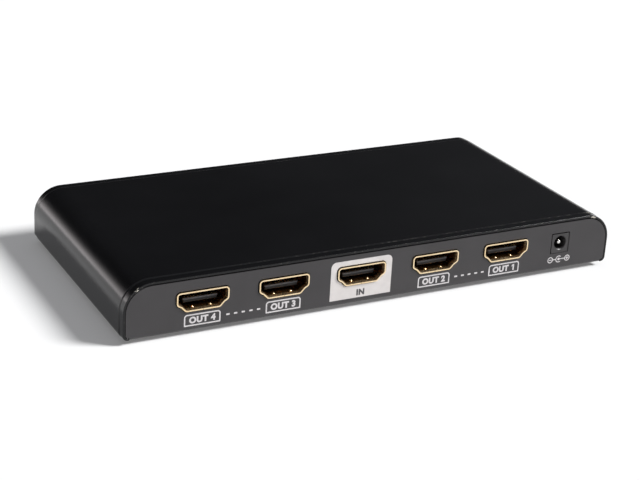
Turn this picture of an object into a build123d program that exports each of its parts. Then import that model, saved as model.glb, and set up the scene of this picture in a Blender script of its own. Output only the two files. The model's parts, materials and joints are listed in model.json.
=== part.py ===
from build123d import *
import os

os.makedirs("parts", exist_ok=True)

# A video splitter in a flat bent-sheet case: one input socket, four output sockets and a power jack
# in a row on the port panel, indicator lamps on the panel behind. Lengths are in millimetres.
# The origin lies on the resting plane under the middle of the part. +X runs along the port panel,
# -Y is the side that the ports face, and +Z is up.

overrun = 1.0  # how far a cut runs past what it cuts

# Case: outer size without the feet, and the gauge and bends of its two sheets
case_width = 157.0
case_depth = 76.3
case_height = 16.2
cover_sheet = 0.7
cover_bend = 8.5
base_sheet = 0.8
base_bend = 1.0
cover_low_bend = 1.6
cover_low_land = 0.3
foot_height = 1.4

# Cover's stepped band along its front and rear edges, and the easing of its corners
band_width = 2.4
band_ramp = 0.4
band_drop = 0.15
band_ease = 0.5
edge_ease = 0.12

# Gaps between the panels and the cover
panel_top_gap = 0.35
panel_side_gap = 0.1
panel_corner_gap = 0.3

# Socket row: the first socket and the jack keep their distances from the case's ends, and the
# sockets are spread evenly up to the last one's distance from the jack
first_socket_inset = 22.8
jack_inset = 17.65
jack_spacing = 19.75
mouth_rise = 8.85

# Socket mouth: the inner outline of the shell
mouth_width = 14.0
mouth_height = 4.55
mouth_side = 2.67
shoulder_width = 11.82
shoulder_drop = 3.29
mouth_floor = 9.5
mouth_corner = 0.5
shoulder_round = 1.2

# Socket shell: sheet, flared lip, spring fingers, seam and legs
shell_sheet = 0.3
shell_depth = 11.5
lip_proud = 0.4
lip_grow = 0.62
lip_land = 0.38
lip_thick = 0.25
flare_depth = 0.75
cutout_gap = 0.25
seam_gap = 0.1
finger_width = 1.4
finger_slit = 0.25
finger_dip = 0.1
finger_dimple = 0.55
finger_dimple_rise = 0.22
finger_tip = 0.6
finger_tip_lift = 0.05
finger_crest = 1.3
finger_reach = 4.6
floor_finger_pitch = 5.2
roof_finger_pitch = 8.0
roof_finger_setback = 3.2
leg_width = 1.2
leg_tail = 0.9
leg_setbacks = (3.2, 9.0)
leg_clearance = 0.2

# Socket insulator and its contacts
insulator_clearance = 0.05
block_depth = 2.4
tongue_width = 10.1
tongue_setback = 1.8
tongue_top = 0.2
tongue_thick = 1.35
tongue_ease = 0.3
contact_gauge = 0.12
contact_width = 0.3
contact_pitch = 1.0
contact_setback = 0.6
contact_tail = 0.5
contact_foot = 1.0
contact_row = 10

# Power jack: housing, bore and centre pin
jack_width = 6.05
jack_height = 6.1
jack_setback = 0.15
jack_depth = 9.4
jack_low = 5.4
jack_ease = 0.25
jack_gap = 0.1
jack_slack = 0.3
jack_notch_gap = 0.35
bore_rise = 3.2
bore_radius = 2.1
bore_depth = 8.0
bore_lead = 0.2
pin_radius = 0.65
pin_setback = 0.7
pin_fit = 0.03
ledge_width = 0.8
ledge_thick = 1.2
ledge_start = 3.0
ledge_length = 5.0

# Power jack's spring leaf and its terminals
leaf_width = 1.8
leaf_gauge = 0.2
leaf_side_gap = 0.2
leaf_slot_start = 1.9
leaf_slot_floor = 1.7
leaf_roll = 0.33
leaf_roll_rise = 2.15
leaf_roll_back = 8.42
leaf_nose_rise = 1.85
leaf_nose_back = 3.4
leaf_tip_rise = 2.25
leaf_tip_back = 2.6
leaf_clearance = 0.05
upstand_height = 0.8
terminal_gauge = 0.2
terminal_width = 1.2
pin_terminal_back = 1.2
sleeve_terminal_back = 2.6
terminal_tail = 0.9
terminal_clearance = 0.15

# Main board, its standoffs and screws
board_thick = 1.6
board_corner = 1.0
board_setback = 1.3
board_rear_gap = 2.4
board_end_gap = 7.3
standoff_inset = 6.0
standoff_pitch = 40.0
standoff_radius = 2.9
spigot_radius = 2.1
thread_radius = 1.5
thread_fit = 0.05
tapped_depth = 3.5
board_hole_gap = 0.15
pan_radius = 2.75
pan_height = 1.9
pan_ease = 0.7
cross_width = 0.6
cross_span = 2.8
cross_depth = 0.9
board_screw_grip = 3.0

# Insulation sheet under the board
film_gauge = 0.25
film_end_gap = 3.0
film_side_gap = 4.0
film_hole_gap = 0.6

# Brackets on the cover's end walls and the screws that hold the base to them
bracket_sheet = 1.5
bracket_foot = 8.0
bracket_upright = 6.2
bracket_width = 10.0
bracket_bend = 0.5
bracket_pitch = 48.0
bracket_hole_inset = 5.0
case_screw_radius = 1.25
case_screw_gap = 0.15
case_head_radius = 2.4
case_head_height = 0.7
case_head_ease = 0.25
case_cross_span = 2.6
case_cross_depth = 0.4
case_screw_tail = 0.6

# Feet
foot_radius = 4.0
foot_ease = 0.4
foot_end_inset = 12.5
foot_side_inset = 8.2

# Indicator lamps behind the rear panel
lamp_count = 6
lamp_pitch = 12.0
lamp_radius = 1.5
lamp_rise = 3.0
lamp_length = 5.6
lamp_recess = 0.1
lamp_flange_radius = 1.9
lamp_flange = 1.0
lamp_fit = 0.08
lamp_window_gap = 0.15
holder_width = 4.6
holder_height = 5.2
holder_depth = 5.0
holder_panel_gap = 0.4
lamp_lead = 0.45
lamp_lead_pitch = 2.54
lamp_lead_back = 1.1
lamp_lead_tail = 0.8
lamp_hole_gap = 0.15

# Chip packages: plan, height, leads
chip_standoff = 0.1
chip_ease = 0.15
chip_mark_radius = 0.4
chip_mark_depth = 0.08
chip_mark_inset = 1.1
lead_gauge = 0.15
lead_knee = 0.45
lead_foot = 0.5
splitter_side = 10.0
splitter_thick = 1.4
splitter_lead_pitch = 0.5
splitter_lead_width = 0.22
splitter_leads_per_side = 16
controller_length = 12.8
controller_width = 7.5
controller_thick = 2.3
small_chip_length = 4.9
small_chip_width = 3.9
small_chip_thick = 1.5
wide_lead_pitch = 1.27
wide_lead_width = 0.4
controller_leads_per_side = 10
small_chip_leads_per_side = 4
small_chip_gap = 1.5
surge_length = 2.5
surge_width = 1.0
surge_thick = 0.55
surge_pitch = 5.2
surge_gap = 0.6

# Heat sink on the splitter chip
pad_thick = 0.3
sink_side = 22.0
sink_base = 1.5
sink_fin = 1.1
sink_fins = 7
sink_top_gap = 1.3

# Power parts on the board
regulator_length = 6.5
regulator_width = 3.5
regulator_thick = 1.6
regulator_spacing = 9.0
regulator_tab = 3.0
regulator_leads = 3
regulator_lead_pitch = 2.3
regulator_lead_width = 0.7
inductor_side = 7.0
inductor_height = 3.6
inductor_corner = 1.5
inductor_core_radius = 2.4
inductor_recess = 0.5
can_radius = 3.15
can_height = 5.2
can_ease = 0.4
can_groove_rise = 1.1
can_groove = 0.35
can_base_side = 6.6
can_base_thick = 0.6
can_base_corner = 1.2
can_spacing = 9.0
can_count = 3
crystal_length = 10.2
crystal_width = 3.8
crystal_height = 3.2
crystal_rim = 0.5
crystal_rim_thick = 0.5
fuse_length = 4.5
fuse_width = 3.2
fuse_thick = 0.8
diode_length = 4.3
diode_width = 2.6
diode_thick = 2.1
chip_part_length = 1.6
chip_part_width = 0.8
chip_part_thick = 0.5
chip_part_ease = 0.08
chip_part_spacing_x = 3.0
chip_part_spacing_y = 2.4
chip_part_columns = 5
chip_part_rows = 3

# Places on the board, as shares of its length and depth from its centre
splitter_place_shares = (-0.05, 0.06)
controller_place_shares = (-0.30, 0.10)
crystal_place_shares = (-0.17, 0.30)
regulator_place_shares = (0.20, 0.02)
inductor_place_shares = (0.36, -0.10)
can_place_shares = (0.28, 0.25)
fuse_place_shares = (0.36, -0.23)
diode_place_shares = (0.42, -0.13)
resistor_place_shares = (-0.24, -0.05)
capacitor_place_shares = (0.12, 0.24)

# Levels and edges that follow from the sizes above
case_end = case_width / 2
front_y = (lip_proud - case_depth) / 2
rear_y = front_y + case_depth
floor_z = foot_height
case_top_z = floor_z + case_height
cover_under_z = case_top_z - band_drop - cover_sheet
panel_top_z = cover_under_z - panel_top_gap
panel_end = case_end - band_drop - cover_sheet - panel_side_gap
panel_corner = cover_bend - band_drop - cover_sheet - panel_corner_gap
panel_low_corner = cover_low_bend - band_drop - cover_sheet - panel_side_gap
plate_end = case_end - cover_low_bend - cover_low_land - panel_side_gap
panel_low_z = floor_z + band_drop + cover_sheet + panel_side_gap
base_top_z = floor_z + base_sheet
mouth_z = floor_z + mouth_rise
mouth_roof_z = mouth_z + mouth_height / 2
mouth_floor_z = mouth_z - mouth_height / 2
board_top_z = mouth_floor_z - shell_sheet
leg_x = (mouth_width + shell_sheet) / 2
board_bottom_z = board_top_z - board_thick
board_length = case_width - 2 * board_end_gap
board_depth = case_depth - board_setback - board_rear_gap
board_y = front_y + board_setback + board_depth / 2
standoff_span = board_length - 2 * standoff_inset
bracket_wall = case_end - cover_sheet
bracket_hole_span = 2 * (bracket_wall - bracket_hole_inset)
jack_low_z = floor_z + jack_low
bore_z = jack_low_z + bore_rise
lamp_z = board_top_z + lamp_rise
lamp_end_y = rear_y - lamp_recess - lamp_length
holder_y = rear_y - base_sheet - holder_panel_gap - holder_depth
contact_end = shell_depth + 2 * contact_tail + contact_foot
surge_setback = contact_end + surge_gap + surge_width / 2
small_chip_reach = small_chip_width / 2 + lead_knee + lead_foot
small_chip_setback = surge_setback + surge_width / 2 + small_chip_gap + small_chip_reach

socket_names = ("output_4", "output_3", "input", "output_2", "output_1")
jack_x = case_end - jack_inset
first_socket_x = first_socket_inset - case_end
last_socket_x = jack_x - jack_spacing
socket_pitch = (last_socket_x - first_socket_x) / (len(socket_names) - 1)
socket_xs = [first_socket_x + i * socket_pitch for i in range(len(socket_names))]


def behind_front(depth):
    """The upright plane that lies depth behind the port panel's front face, facing the viewer."""
    return Plane.XZ.offset(-front_y - depth)


def board_place(shares):
    """The point of the board's top that the shares of its length and depth give."""
    return (board_length * shares[0], board_y + board_depth * shares[1], board_top_z)


def keep(piece, name):
    """Label a finished piece and write it as its own file."""
    piece.label = name
    export_step(piece, f"parts/{name}.step")


def mouth_outline(grow):
    """A socket mouth's outline around its centre, grown evenly outwards."""
    roof = mouth_height / 2
    with BuildSketch(mode=Mode.PRIVATE) as outline:
        with BuildLine():
            Polyline(
                (-mouth_width / 2, roof),
                (-mouth_width / 2, roof - mouth_side),
                (-shoulder_width / 2, roof - shoulder_drop),
                (-mouth_floor / 2, -roof),
                (mouth_floor / 2, -roof),
                (shoulder_width / 2, roof - shoulder_drop),
                (mouth_width / 2, roof - mouth_side),
                (mouth_width / 2, roof),
                close=True,
            )
        make_face()
        rows = outline.vertices().group_by(Axis.Y)
        fillet(rows[0] + rows[2] + rows[3], radius=mouth_corner)
        shoulders = outline.vertices().filter_by(
            lambda v: abs(v.Y - roof + shoulder_drop) < mouth_corner / 2
            and abs(abs(v.X) - shoulder_width / 2) < mouth_corner / 2
        )
        fillet(shoulders, radius=shoulder_round)
        if grow:
            offset(amount=grow)
    return outline.sketch


# Top cover: one sheet bent over the top and down both ends and turned in under them, with a stepped
# band at its front and rear edges
cover_edge = case_end - cover_low_bend - cover_low_land
with BuildPart() as top_cover:
    with BuildLine(behind_front(0)):
        FilletPolyline(
            (-cover_edge, floor_z),
            (-case_end, floor_z),
            (-case_end, case_top_z),
            (case_end, case_top_z),
            (case_end, floor_z),
            (cover_edge, floor_z),
            radius=[cover_low_bend, cover_bend, cover_bend, cover_low_bend],
        )
    with BuildSketch(Plane.YZ.offset(-cover_edge)) as cover_section:
        with BuildLine():
            Polyline(
                (front_y, floor_z + band_drop),
                (front_y + band_width, floor_z + band_drop),
                (front_y + band_width + band_ramp, floor_z),
                (rear_y - band_width - band_ramp, floor_z),
                (rear_y - band_width, floor_z + band_drop),
                (rear_y, floor_z + band_drop),
                (rear_y, floor_z + band_drop + cover_sheet),
                (rear_y - band_width, floor_z + band_drop + cover_sheet),
                (rear_y - band_width - band_ramp, floor_z + cover_sheet),
                (front_y + band_width + band_ramp, floor_z + cover_sheet),
                (front_y + band_width, floor_z + band_drop + cover_sheet),
                (front_y, floor_z + band_drop + cover_sheet),
                close=True,
            )
        make_face()
        columns = cover_section.vertices().group_by(Axis.X)
        fillet(columns[1] + columns[2] + columns[3] + columns[4], radius=band_ease)
        end_columns = cover_section.vertices().group_by(Axis.X)
        fillet(end_columns[0] + end_columns[-1], radius=edge_ease)
    sweep()
keep(top_cover.part, "top_cover")

# Base tray: the bottom plate with the port panel bent up in front and the rear panel behind
panel_height = panel_top_z - floor_z
with BuildPart() as base_tray:
    with BuildSketch(Plane.YZ) as folded_outside:
        with Locations((front_y, floor_z)):
            Rectangle(case_depth, panel_height, align=(Align.MIN, Align.MIN))
        fillet(folded_outside.vertices().group_by(Axis.Y)[0], radius=base_bend)
    extrude(amount=panel_end, both=True)
    with BuildSketch(Plane.YZ) as folded_inside:
        with Locations((front_y + base_sheet, base_top_z)):
            Rectangle(case_depth - 2 * base_sheet, panel_height + overrun, align=(Align.MIN, Align.MIN))
        fillet(folded_inside.vertices().group_by(Axis.Y)[0], radius=base_bend - base_sheet)
    extrude(amount=panel_end + overrun, both=True, mode=Mode.SUBTRACT)
    fillet(base_tray.edges().filter_by(Axis.Y).group_by(Axis.Z)[-1], radius=panel_corner)

    # Room along both ends for the cover's turned-in edges
    with BuildSketch(Plane.XZ.offset(-rear_y - overrun)):
        for side, align in ((-1, Align.MAX), (1, Align.MIN)):
            with Locations((side * plate_end, floor_z)):
                Rectangle(
                    panel_end - plate_end + overrun,
                    panel_low_z - floor_z,
                    align=(align, Align.MIN),
                )
    extrude(amount=case_depth + 2 * overrun, mode=Mode.SUBTRACT)
    low_corners = base_tray.edges().filter_by(Axis.Y).filter_by(
        lambda e: abs(e.center().Z - panel_low_z) < panel_side_gap
        and abs(abs(e.center().X) - panel_end) < panel_side_gap
    )
    fillet(low_corners, radius=panel_low_corner)

    with BuildSketch(behind_front(0)):
        with Locations(*[(x, mouth_z) for x in socket_xs]):
            add(mouth_outline(lip_grow + cutout_gap))
        with Locations((jack_x - jack_slack / 2, jack_low_z + (jack_height + jack_slack) / 2)):
            RectangleRounded(
                jack_width + 2 * jack_gap + jack_slack,
                jack_height + 2 * jack_gap + jack_slack,
                jack_ease + jack_gap,
            )
    extrude(amount=-base_sheet - overrun, mode=Mode.SUBTRACT)

    with BuildSketch(Plane.XZ.offset(-rear_y)):
        with Locations((0, lamp_z)):
            with GridLocations(lamp_pitch, lamp_pitch, lamp_count, 1):
                Circle(lamp_radius + lamp_window_gap)
    extrude(amount=base_sheet + overrun, mode=Mode.SUBTRACT)

    with BuildSketch(Plane.XY.offset(floor_z)):
        with GridLocations(standoff_span, standoff_pitch, 2, 2):
            Circle(spigot_radius)
        with GridLocations(bracket_hole_span, bracket_pitch, 2, 2):
            Circle(case_screw_radius + case_screw_gap)
    extrude(amount=base_sheet, mode=Mode.SUBTRACT)
keep(base_tray.part, "base_tray")

# Cover brackets: a small angle at each corner, on the end wall, with the tapped hole for a case screw
with BuildPart() as one_bracket:
    with BuildSketch(Plane.XZ) as angle:
        with BuildLine():
            Polyline(
                (bracket_wall, base_top_z),
                (bracket_wall, base_top_z + bracket_upright),
                (bracket_wall - bracket_sheet, base_top_z + bracket_upright),
                (bracket_wall - bracket_sheet, base_top_z + bracket_sheet),
                (bracket_wall - bracket_foot, base_top_z + bracket_sheet),
                (bracket_wall - bracket_foot, base_top_z),
                close=True,
            )
        make_face()
        inner_corner = (bracket_wall - bracket_sheet, base_top_z + bracket_sheet)
        outer_corner = (bracket_wall, base_top_z)
        for corner, radius in (
            (inner_corner, bracket_bend),
            (outer_corner, bracket_bend + bracket_sheet),
        ):
            fillet(angle.vertices().sort_by_distance(corner)[0], radius=radius)
    extrude(amount=bracket_width / 2, both=True)
    with BuildSketch(Plane.XY.offset(base_top_z)):
        with Locations((bracket_wall - bracket_hole_inset, 0)):
            Circle(case_screw_radius)
    extrude(amount=bracket_sheet + overrun, mode=Mode.SUBTRACT)
with BuildPart() as cover_brackets:
    with Locations((0, -bracket_pitch / 2), (0, bracket_pitch / 2)):
        add(one_bracket.part)
    mirror(about=Plane.YZ)
keep(cover_brackets.part, "cover_brackets")

# Case screws: thin heads under the base, shanks up through the brackets
case_shank = base_sheet + bracket_sheet + case_screw_tail
with BuildPart() as one_case_screw:
    with BuildSketch(Plane.XY.offset(floor_z - case_head_height)):
        Circle(case_head_radius)
    extrude(amount=case_head_height)
    fillet(one_case_screw.edges().group_by(Axis.Z)[0], radius=case_head_ease)
    with BuildSketch(Plane.XY.offset(floor_z)):
        Circle(case_screw_radius - thread_fit)
    extrude(amount=case_shank)
    with BuildSketch(Plane.XY.offset(floor_z - case_head_height)):
        Rectangle(case_cross_span, cross_width)
        Rectangle(cross_width, case_cross_span)
    extrude(amount=case_cross_depth, mode=Mode.SUBTRACT)
with BuildPart() as case_screws:
    with GridLocations(bracket_hole_span, bracket_pitch, 2, 2):
        add(one_case_screw.part)
keep(case_screws.part, "case_screws")

# Rubber feet
with BuildPart() as rubber_feet:
    with BuildSketch():
        with GridLocations(case_width - 2 * foot_end_inset, case_depth - 2 * foot_side_inset, 2, 2):
            Circle(foot_radius)
    extrude(amount=foot_height)
    fillet(rubber_feet.edges().group_by(Axis.Z)[0], radius=foot_ease)
keep(rubber_feet.part, "rubber_feet")

# Board standoffs: hexagons pressed into the base, each with a blind tapped hole
with BuildPart() as board_standoffs:
    with BuildSketch(Plane.XY.offset(base_top_z)):
        with GridLocations(standoff_span, standoff_pitch, 2, 2):
            RegularPolygon(standoff_radius, 6)
    extrude(amount=board_bottom_z - base_top_z)
    with BuildSketch(Plane.XY.offset(floor_z)):
        with GridLocations(standoff_span, standoff_pitch, 2, 2):
            Circle(spigot_radius)
    extrude(amount=base_sheet)
    with BuildSketch(Plane.XY.offset(board_bottom_z)):
        with GridLocations(standoff_span, standoff_pitch, 2, 2):
            Circle(thread_radius)
    extrude(amount=-tapped_depth, mode=Mode.SUBTRACT)
keep(board_standoffs.part, "board_standoffs")

# Board screws: pan heads on the board, shanks in the standoffs
with BuildPart() as one_board_screw:
    with BuildSketch(Plane.XY.offset(board_top_z)):
        Circle(pan_radius)
    extrude(amount=pan_height)
    fillet(one_board_screw.edges().group_by(Axis.Z)[-1], radius=pan_ease)
    with BuildSketch(Plane.XY.offset(board_top_z)):
        Circle(thread_radius - thread_fit)
    extrude(amount=-board_thick - board_screw_grip)
    with BuildSketch(Plane.XY.offset(board_top_z + pan_height)):
        Rectangle(cross_span, cross_width)
        Rectangle(cross_width, cross_span)
    extrude(amount=-cross_depth, mode=Mode.SUBTRACT)
with BuildPart() as board_screws:
    with GridLocations(standoff_span, standoff_pitch, 2, 2):
        add(one_board_screw.part)
keep(board_screws.part, "board_screws")

# Insulation sheet on the base, open around the standoffs
with BuildPart() as insulation_sheet:
    with BuildSketch(Plane.XY.offset(base_top_z)):
        Rectangle(board_length - 2 * film_end_gap, board_depth - 2 * film_side_gap)
        with GridLocations(standoff_span, standoff_pitch, 2, 2):
            Circle(standoff_radius + film_hole_gap, mode=Mode.SUBTRACT)
    extrude(amount=film_gauge)
keep(insulation_sheet.part, "insulation_sheet")

# Main board, with slots for the shells' legs, a notch for the jack and holes for pins and screws
notch_end = jack_depth + jack_notch_gap
with BuildPart() as main_board:
    with BuildSketch(Plane.XY.offset(board_bottom_z)):
        with Locations((0, board_y)):
            RectangleRounded(board_length, board_depth, board_corner)
        with GridLocations(standoff_span, standoff_pitch, 2, 2):
            Circle(thread_radius + board_hole_gap, mode=Mode.SUBTRACT)
        for x in socket_xs:
            for setback in leg_setbacks:
                leg_y = front_y + setback + leg_width / 2
                with Locations((x - leg_x, leg_y), (x + leg_x, leg_y)):
                    Rectangle(
                        shell_sheet + 2 * leg_clearance,
                        leg_width + 2 * leg_clearance,
                        mode=Mode.SUBTRACT,
                    )
        with Locations((jack_x, front_y)):
            Rectangle(
                jack_width + 2 * jack_notch_gap,
                notch_end,
                align=(Align.CENTER, Align.MIN),
                mode=Mode.SUBTRACT,
            )
        for back in (pin_terminal_back, sleeve_terminal_back):
            with Locations((jack_x, front_y + jack_depth + back - terminal_gauge / 2)):
                Rectangle(
                    terminal_width + 2 * terminal_clearance,
                    terminal_gauge + 2 * terminal_clearance,
                    mode=Mode.SUBTRACT,
                )
        with Locations((0, lamp_end_y - lamp_lead_back + lamp_lead / 2)):
            with GridLocations(lamp_pitch, lamp_pitch, lamp_count, 1):
                with GridLocations(lamp_lead_pitch, lamp_lead_pitch, 2, 1):
                    Circle(lamp_lead / 2 + lamp_hole_gap, mode=Mode.SUBTRACT)
    extrude(amount=board_thick)
keep(main_board.part, "main_board")


def finger_profile(root_depth, tip_depth, crest_depth, wall_z, inward):
    """Side view of a spring finger: from its root in the wall to a crest inside the mouth."""
    outer = wall_z - inward * shell_sheet
    with BuildSketch(mode=Mode.PRIVATE) as profile:
        with BuildLine():
            Polyline(
                (front_y + root_depth, outer),
                (front_y + root_depth, wall_z),
                (front_y + crest_depth, wall_z + inward * finger_dip),
                (front_y + tip_depth, wall_z + inward * finger_tip_lift),
                (front_y + tip_depth, outer + inward * finger_tip_lift),
                (front_y + crest_depth, outer + inward * finger_dip),
                close=True,
            )
        make_face()
    return profile.sketch


# Socket shell, made once around x = 0 and set at each place
with BuildPart() as socket_shell:
    with BuildSketch(behind_front(-lip_proud)):
        with Locations((0, mouth_z)):
            add(mouth_outline(lip_grow))
    extrude(amount=-lip_thick)
    with BuildSketch(behind_front(lip_thick - lip_proud)):
        with Locations((0, mouth_z)):
            add(mouth_outline(lip_grow))
    with BuildSketch(behind_front(flare_depth)):
        with Locations((0, mouth_z)):
            add(mouth_outline(shell_sheet))
    loft(ruled=True)
    with BuildSketch(behind_front(flare_depth)):
        with Locations((0, mouth_z)):
            add(mouth_outline(shell_sheet))
    extrude(amount=flare_depth - shell_depth)
    with BuildSketch(Plane.XY.offset(board_bottom_z - leg_tail)):
        for setback in leg_setbacks:
            with Locations((-leg_x, front_y + setback), (leg_x, front_y + setback)):
                Rectangle(shell_sheet, leg_width, align=(Align.CENTER, Align.MIN))
    extrude(amount=mouth_z - board_bottom_z + leg_tail)
    with BuildSketch(behind_front(-lip_proud)):
        with Locations((0, mouth_z)):
            add(mouth_outline(lip_grow - lip_land))
    with BuildSketch(behind_front(flare_depth)):
        with Locations((0, mouth_z)):
            add(mouth_outline(0))
    loft(ruled=True, mode=Mode.SUBTRACT)
    with BuildSketch(behind_front(flare_depth)):
        with Locations((0, mouth_z)):
            add(mouth_outline(0))
    extrude(amount=flare_depth - shell_depth, mode=Mode.SUBTRACT)

    # Slits around the two floor fingers and the two roof fingers, then the fingers themselves
    floor_root = finger_tip + finger_reach
    roof_root = roof_finger_setback + finger_reach
    slit_width = finger_width + 2 * finger_slit
    finger_rows = (
        (floor_finger_pitch, finger_tip, finger_crest, floor_root, mouth_floor_z, 1),
        (
            roof_finger_pitch,
            roof_finger_setback,
            roof_finger_setback + finger_crest - finger_tip,
            roof_root,
            mouth_roof_z,
            -1,
        ),
    )
    for pitch, tip, crest, root, wall_z, inward in finger_rows:
        slit_end = max(tip - finger_slit, 0)
        with BuildSketch(Plane.XY.offset(wall_z)):
            with Locations((-pitch / 2, front_y + slit_end), (pitch / 2, front_y + slit_end)):
                Rectangle(slit_width, root - slit_end, align=(Align.CENTER, Align.MIN))
        extrude(amount=-inward * (lip_grow + shell_sheet), mode=Mode.SUBTRACT)
        for finger_x in (-pitch / 2, pitch / 2):
            with BuildSketch(Plane.YZ.offset(finger_x)):
                add(finger_profile(root, tip, crest, wall_z, inward))
            extrude(amount=finger_width / 2, both=True)
            crest_z = wall_z + inward * (finger_dip + finger_dimple_rise - finger_dimple)
            dimple = Pos(finger_x, front_y + crest, crest_z) * Sphere(finger_dimple, mode=Mode.PRIVATE)
            inner_side = Keep.TOP if inward > 0 else Keep.BOTTOM
            add(split(dimple, Plane.XY.offset(wall_z), keep=inner_side, mode=Mode.PRIVATE))

    # Seam where the folded sheet meets itself under the mouth
    with BuildSketch(Plane.XY.offset(mouth_floor_z + shell_sheet)):
        with Locations((0, front_y - lip_proud)):
            Rectangle(seam_gap, shell_depth + lip_proud, align=(Align.CENTER, Align.MIN))
    extrude(amount=-2 * shell_sheet - lip_grow, mode=Mode.SUBTRACT)


# Socket contacts: two staggered rows on the tongue, each folded down to the board behind the block
def contact_profile(strip_z, tail_depth):
    """Side view of one contact whose strip has its underside at strip_z."""
    start = front_y + tongue_setback + contact_setback
    tail = front_y + tail_depth
    foot = front_y + contact_end
    with BuildSketch(mode=Mode.PRIVATE) as profile:
        with BuildLine():
            Polyline(
                (start, strip_z),
                (start, strip_z + contact_gauge),
                (tail, strip_z + contact_gauge),
                (tail, board_top_z + contact_gauge),
                (foot, board_top_z + contact_gauge),
                (foot, board_top_z),
                (tail - contact_gauge, board_top_z),
                (tail - contact_gauge, strip_z),
                close=True,
            )
        make_face()
    return profile.sketch


tongue_top_z = mouth_z + tongue_top
tongue_low_z = tongue_top_z - tongue_thick
contact_rows = (
    (contact_row, tongue_top_z, shell_depth + 2 * contact_tail),
    (contact_row - 1, tongue_low_z - contact_gauge, shell_depth + contact_tail),
)
with BuildPart() as socket_contacts:
    for count, strip_z, tail_depth in contact_rows:
        for i in range(count):
            with BuildSketch(Plane.YZ.offset((i - (count - 1) / 2) * contact_pitch)):
                add(contact_profile(strip_z, tail_depth))
    extrude(amount=contact_width / 2, both=True)

# Socket insulator: the block that closes the shell behind and the tongue that carries the contacts
with BuildPart() as socket_insulator:
    with BuildSketch(behind_front(tongue_setback)):
        with Locations((0, tongue_top_z)):
            Rectangle(tongue_width, tongue_thick, align=(Align.CENTER, Align.MAX))
    extrude(amount=tongue_setback - shell_depth)
    fillet(socket_insulator.faces().sort_by(Axis.Y)[0].edges(), radius=tongue_ease)
    with BuildSketch(behind_front(shell_depth)):
        with Locations((0, mouth_z)):
            add(mouth_outline(-insulator_clearance))
    extrude(amount=block_depth)
    for count, strip_z, tail_depth in contact_rows:
        with BuildSketch(behind_front(shell_depth)):
            with Locations((0, strip_z + contact_gauge / 2)):
                with GridLocations(contact_pitch, contact_pitch, count, 1):
                    Rectangle(contact_width, contact_gauge)
        extrude(amount=block_depth, mode=Mode.SUBTRACT)

for name, x in zip(socket_names, socket_xs):
    for form, suffix in (
        (socket_shell, "shell"),
        (socket_insulator, "insulator"),
        (socket_contacts, "contacts"),
    ):
        with BuildPart() as placed:
            with Locations((x, 0)):
                add(form.part)
        keep(placed.part, f"{name}_{suffix}")

# Power jack housing: a square face just behind the panel's, low and to the right in its window,
# ledges on the board and a slot in its roof for the leaf
jack_rear_y = front_y + jack_depth
slot_floor_z = bore_z + leaf_slot_floor
with BuildPart() as jack_housing:
    with BuildSketch(behind_front(jack_setback)):
        with Locations((jack_x, jack_low_z + jack_height / 2)):
            RectangleRounded(jack_width, jack_height, jack_ease)
    extrude(amount=jack_setback - jack_depth)
    with BuildSketch(Plane.XY.offset(board_top_z)):
        with Locations((jack_x, front_y + ledge_start)):
            Rectangle(jack_width + 2 * ledge_width, ledge_length, align=(Align.CENTER, Align.MIN))
    extrude(amount=ledge_thick)
    with BuildSketch(behind_front(jack_setback)):
        with Locations((jack_x, bore_z)):
            Circle(bore_radius)
    extrude(amount=jack_setback - bore_depth, mode=Mode.SUBTRACT)
    front_arcs = jack_housing.edges().filter_by(GeomType.CIRCLE).group_by(Axis.Y)[0]
    chamfer(front_arcs.sort_by(SortBy.RADIUS)[-1], length=bore_lead)
    with BuildSketch(behind_front(bore_depth)):
        with Locations((jack_x, bore_z)):
            Circle(pin_radius + pin_fit)
    extrude(amount=bore_depth - jack_depth, mode=Mode.SUBTRACT)
    with BuildSketch(Plane.XY.offset(slot_floor_z)):
        with Locations((jack_x, front_y + leaf_slot_start)):
            Rectangle(
                leaf_width + 2 * leaf_side_gap,
                jack_depth - leaf_slot_start,
                align=(Align.CENTER, Align.MIN),
            )
    extrude(amount=jack_height, mode=Mode.SUBTRACT)
keep(jack_housing.part, "jack_housing")

# Power jack centre pin, with its terminal down through the board
terminal_low_z = board_bottom_z - terminal_tail
pin_tail_y = jack_rear_y + pin_terminal_back
with BuildPart() as jack_pin:
    with BuildSketch(behind_front(pin_setback)):
        with Locations((jack_x, bore_z)):
            Circle(pin_radius)
    extrude(amount=pin_setback - jack_depth - pin_terminal_back)
    fillet(jack_pin.edges().sort_by(Axis.Y)[0], radius=pin_radius / 2)
    with BuildSketch(Plane.XY.offset(terminal_low_z)):
        with Locations((jack_x, pin_tail_y)):
            Rectangle(terminal_width, terminal_gauge, align=(Align.CENTER, Align.MAX))
    extrude(amount=bore_z + pin_radius - terminal_low_z)
keep(jack_pin.part, "jack_pin")

# Power jack sleeve terminal: it lies on the slot's floor, stands up behind the leaf and folds down
roll_y = front_y + leaf_roll_back
roll_z = bore_z + leaf_roll_rise
upstand_y = roll_y + leaf_roll + leaf_clearance
sleeve_tail_y = jack_rear_y + sleeve_terminal_back
with BuildPart() as jack_sleeve_terminal:
    with BuildSketch(Plane.YZ.offset(jack_x)):
        with BuildLine():
            Polyline(
                (upstand_y, slot_floor_z),
                (upstand_y, slot_floor_z + upstand_height),
                (upstand_y + terminal_gauge, slot_floor_z + upstand_height),
                (upstand_y + terminal_gauge, slot_floor_z + terminal_gauge),
                (sleeve_tail_y, slot_floor_z + terminal_gauge),
                (sleeve_tail_y, terminal_low_z),
                (sleeve_tail_y - terminal_gauge, terminal_low_z),
                (sleeve_tail_y - terminal_gauge, slot_floor_z),
                close=True,
            )
        make_face()
    extrude(amount=terminal_width / 2, both=True)
keep(jack_sleeve_terminal.part, "jack_sleeve_terminal")

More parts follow.
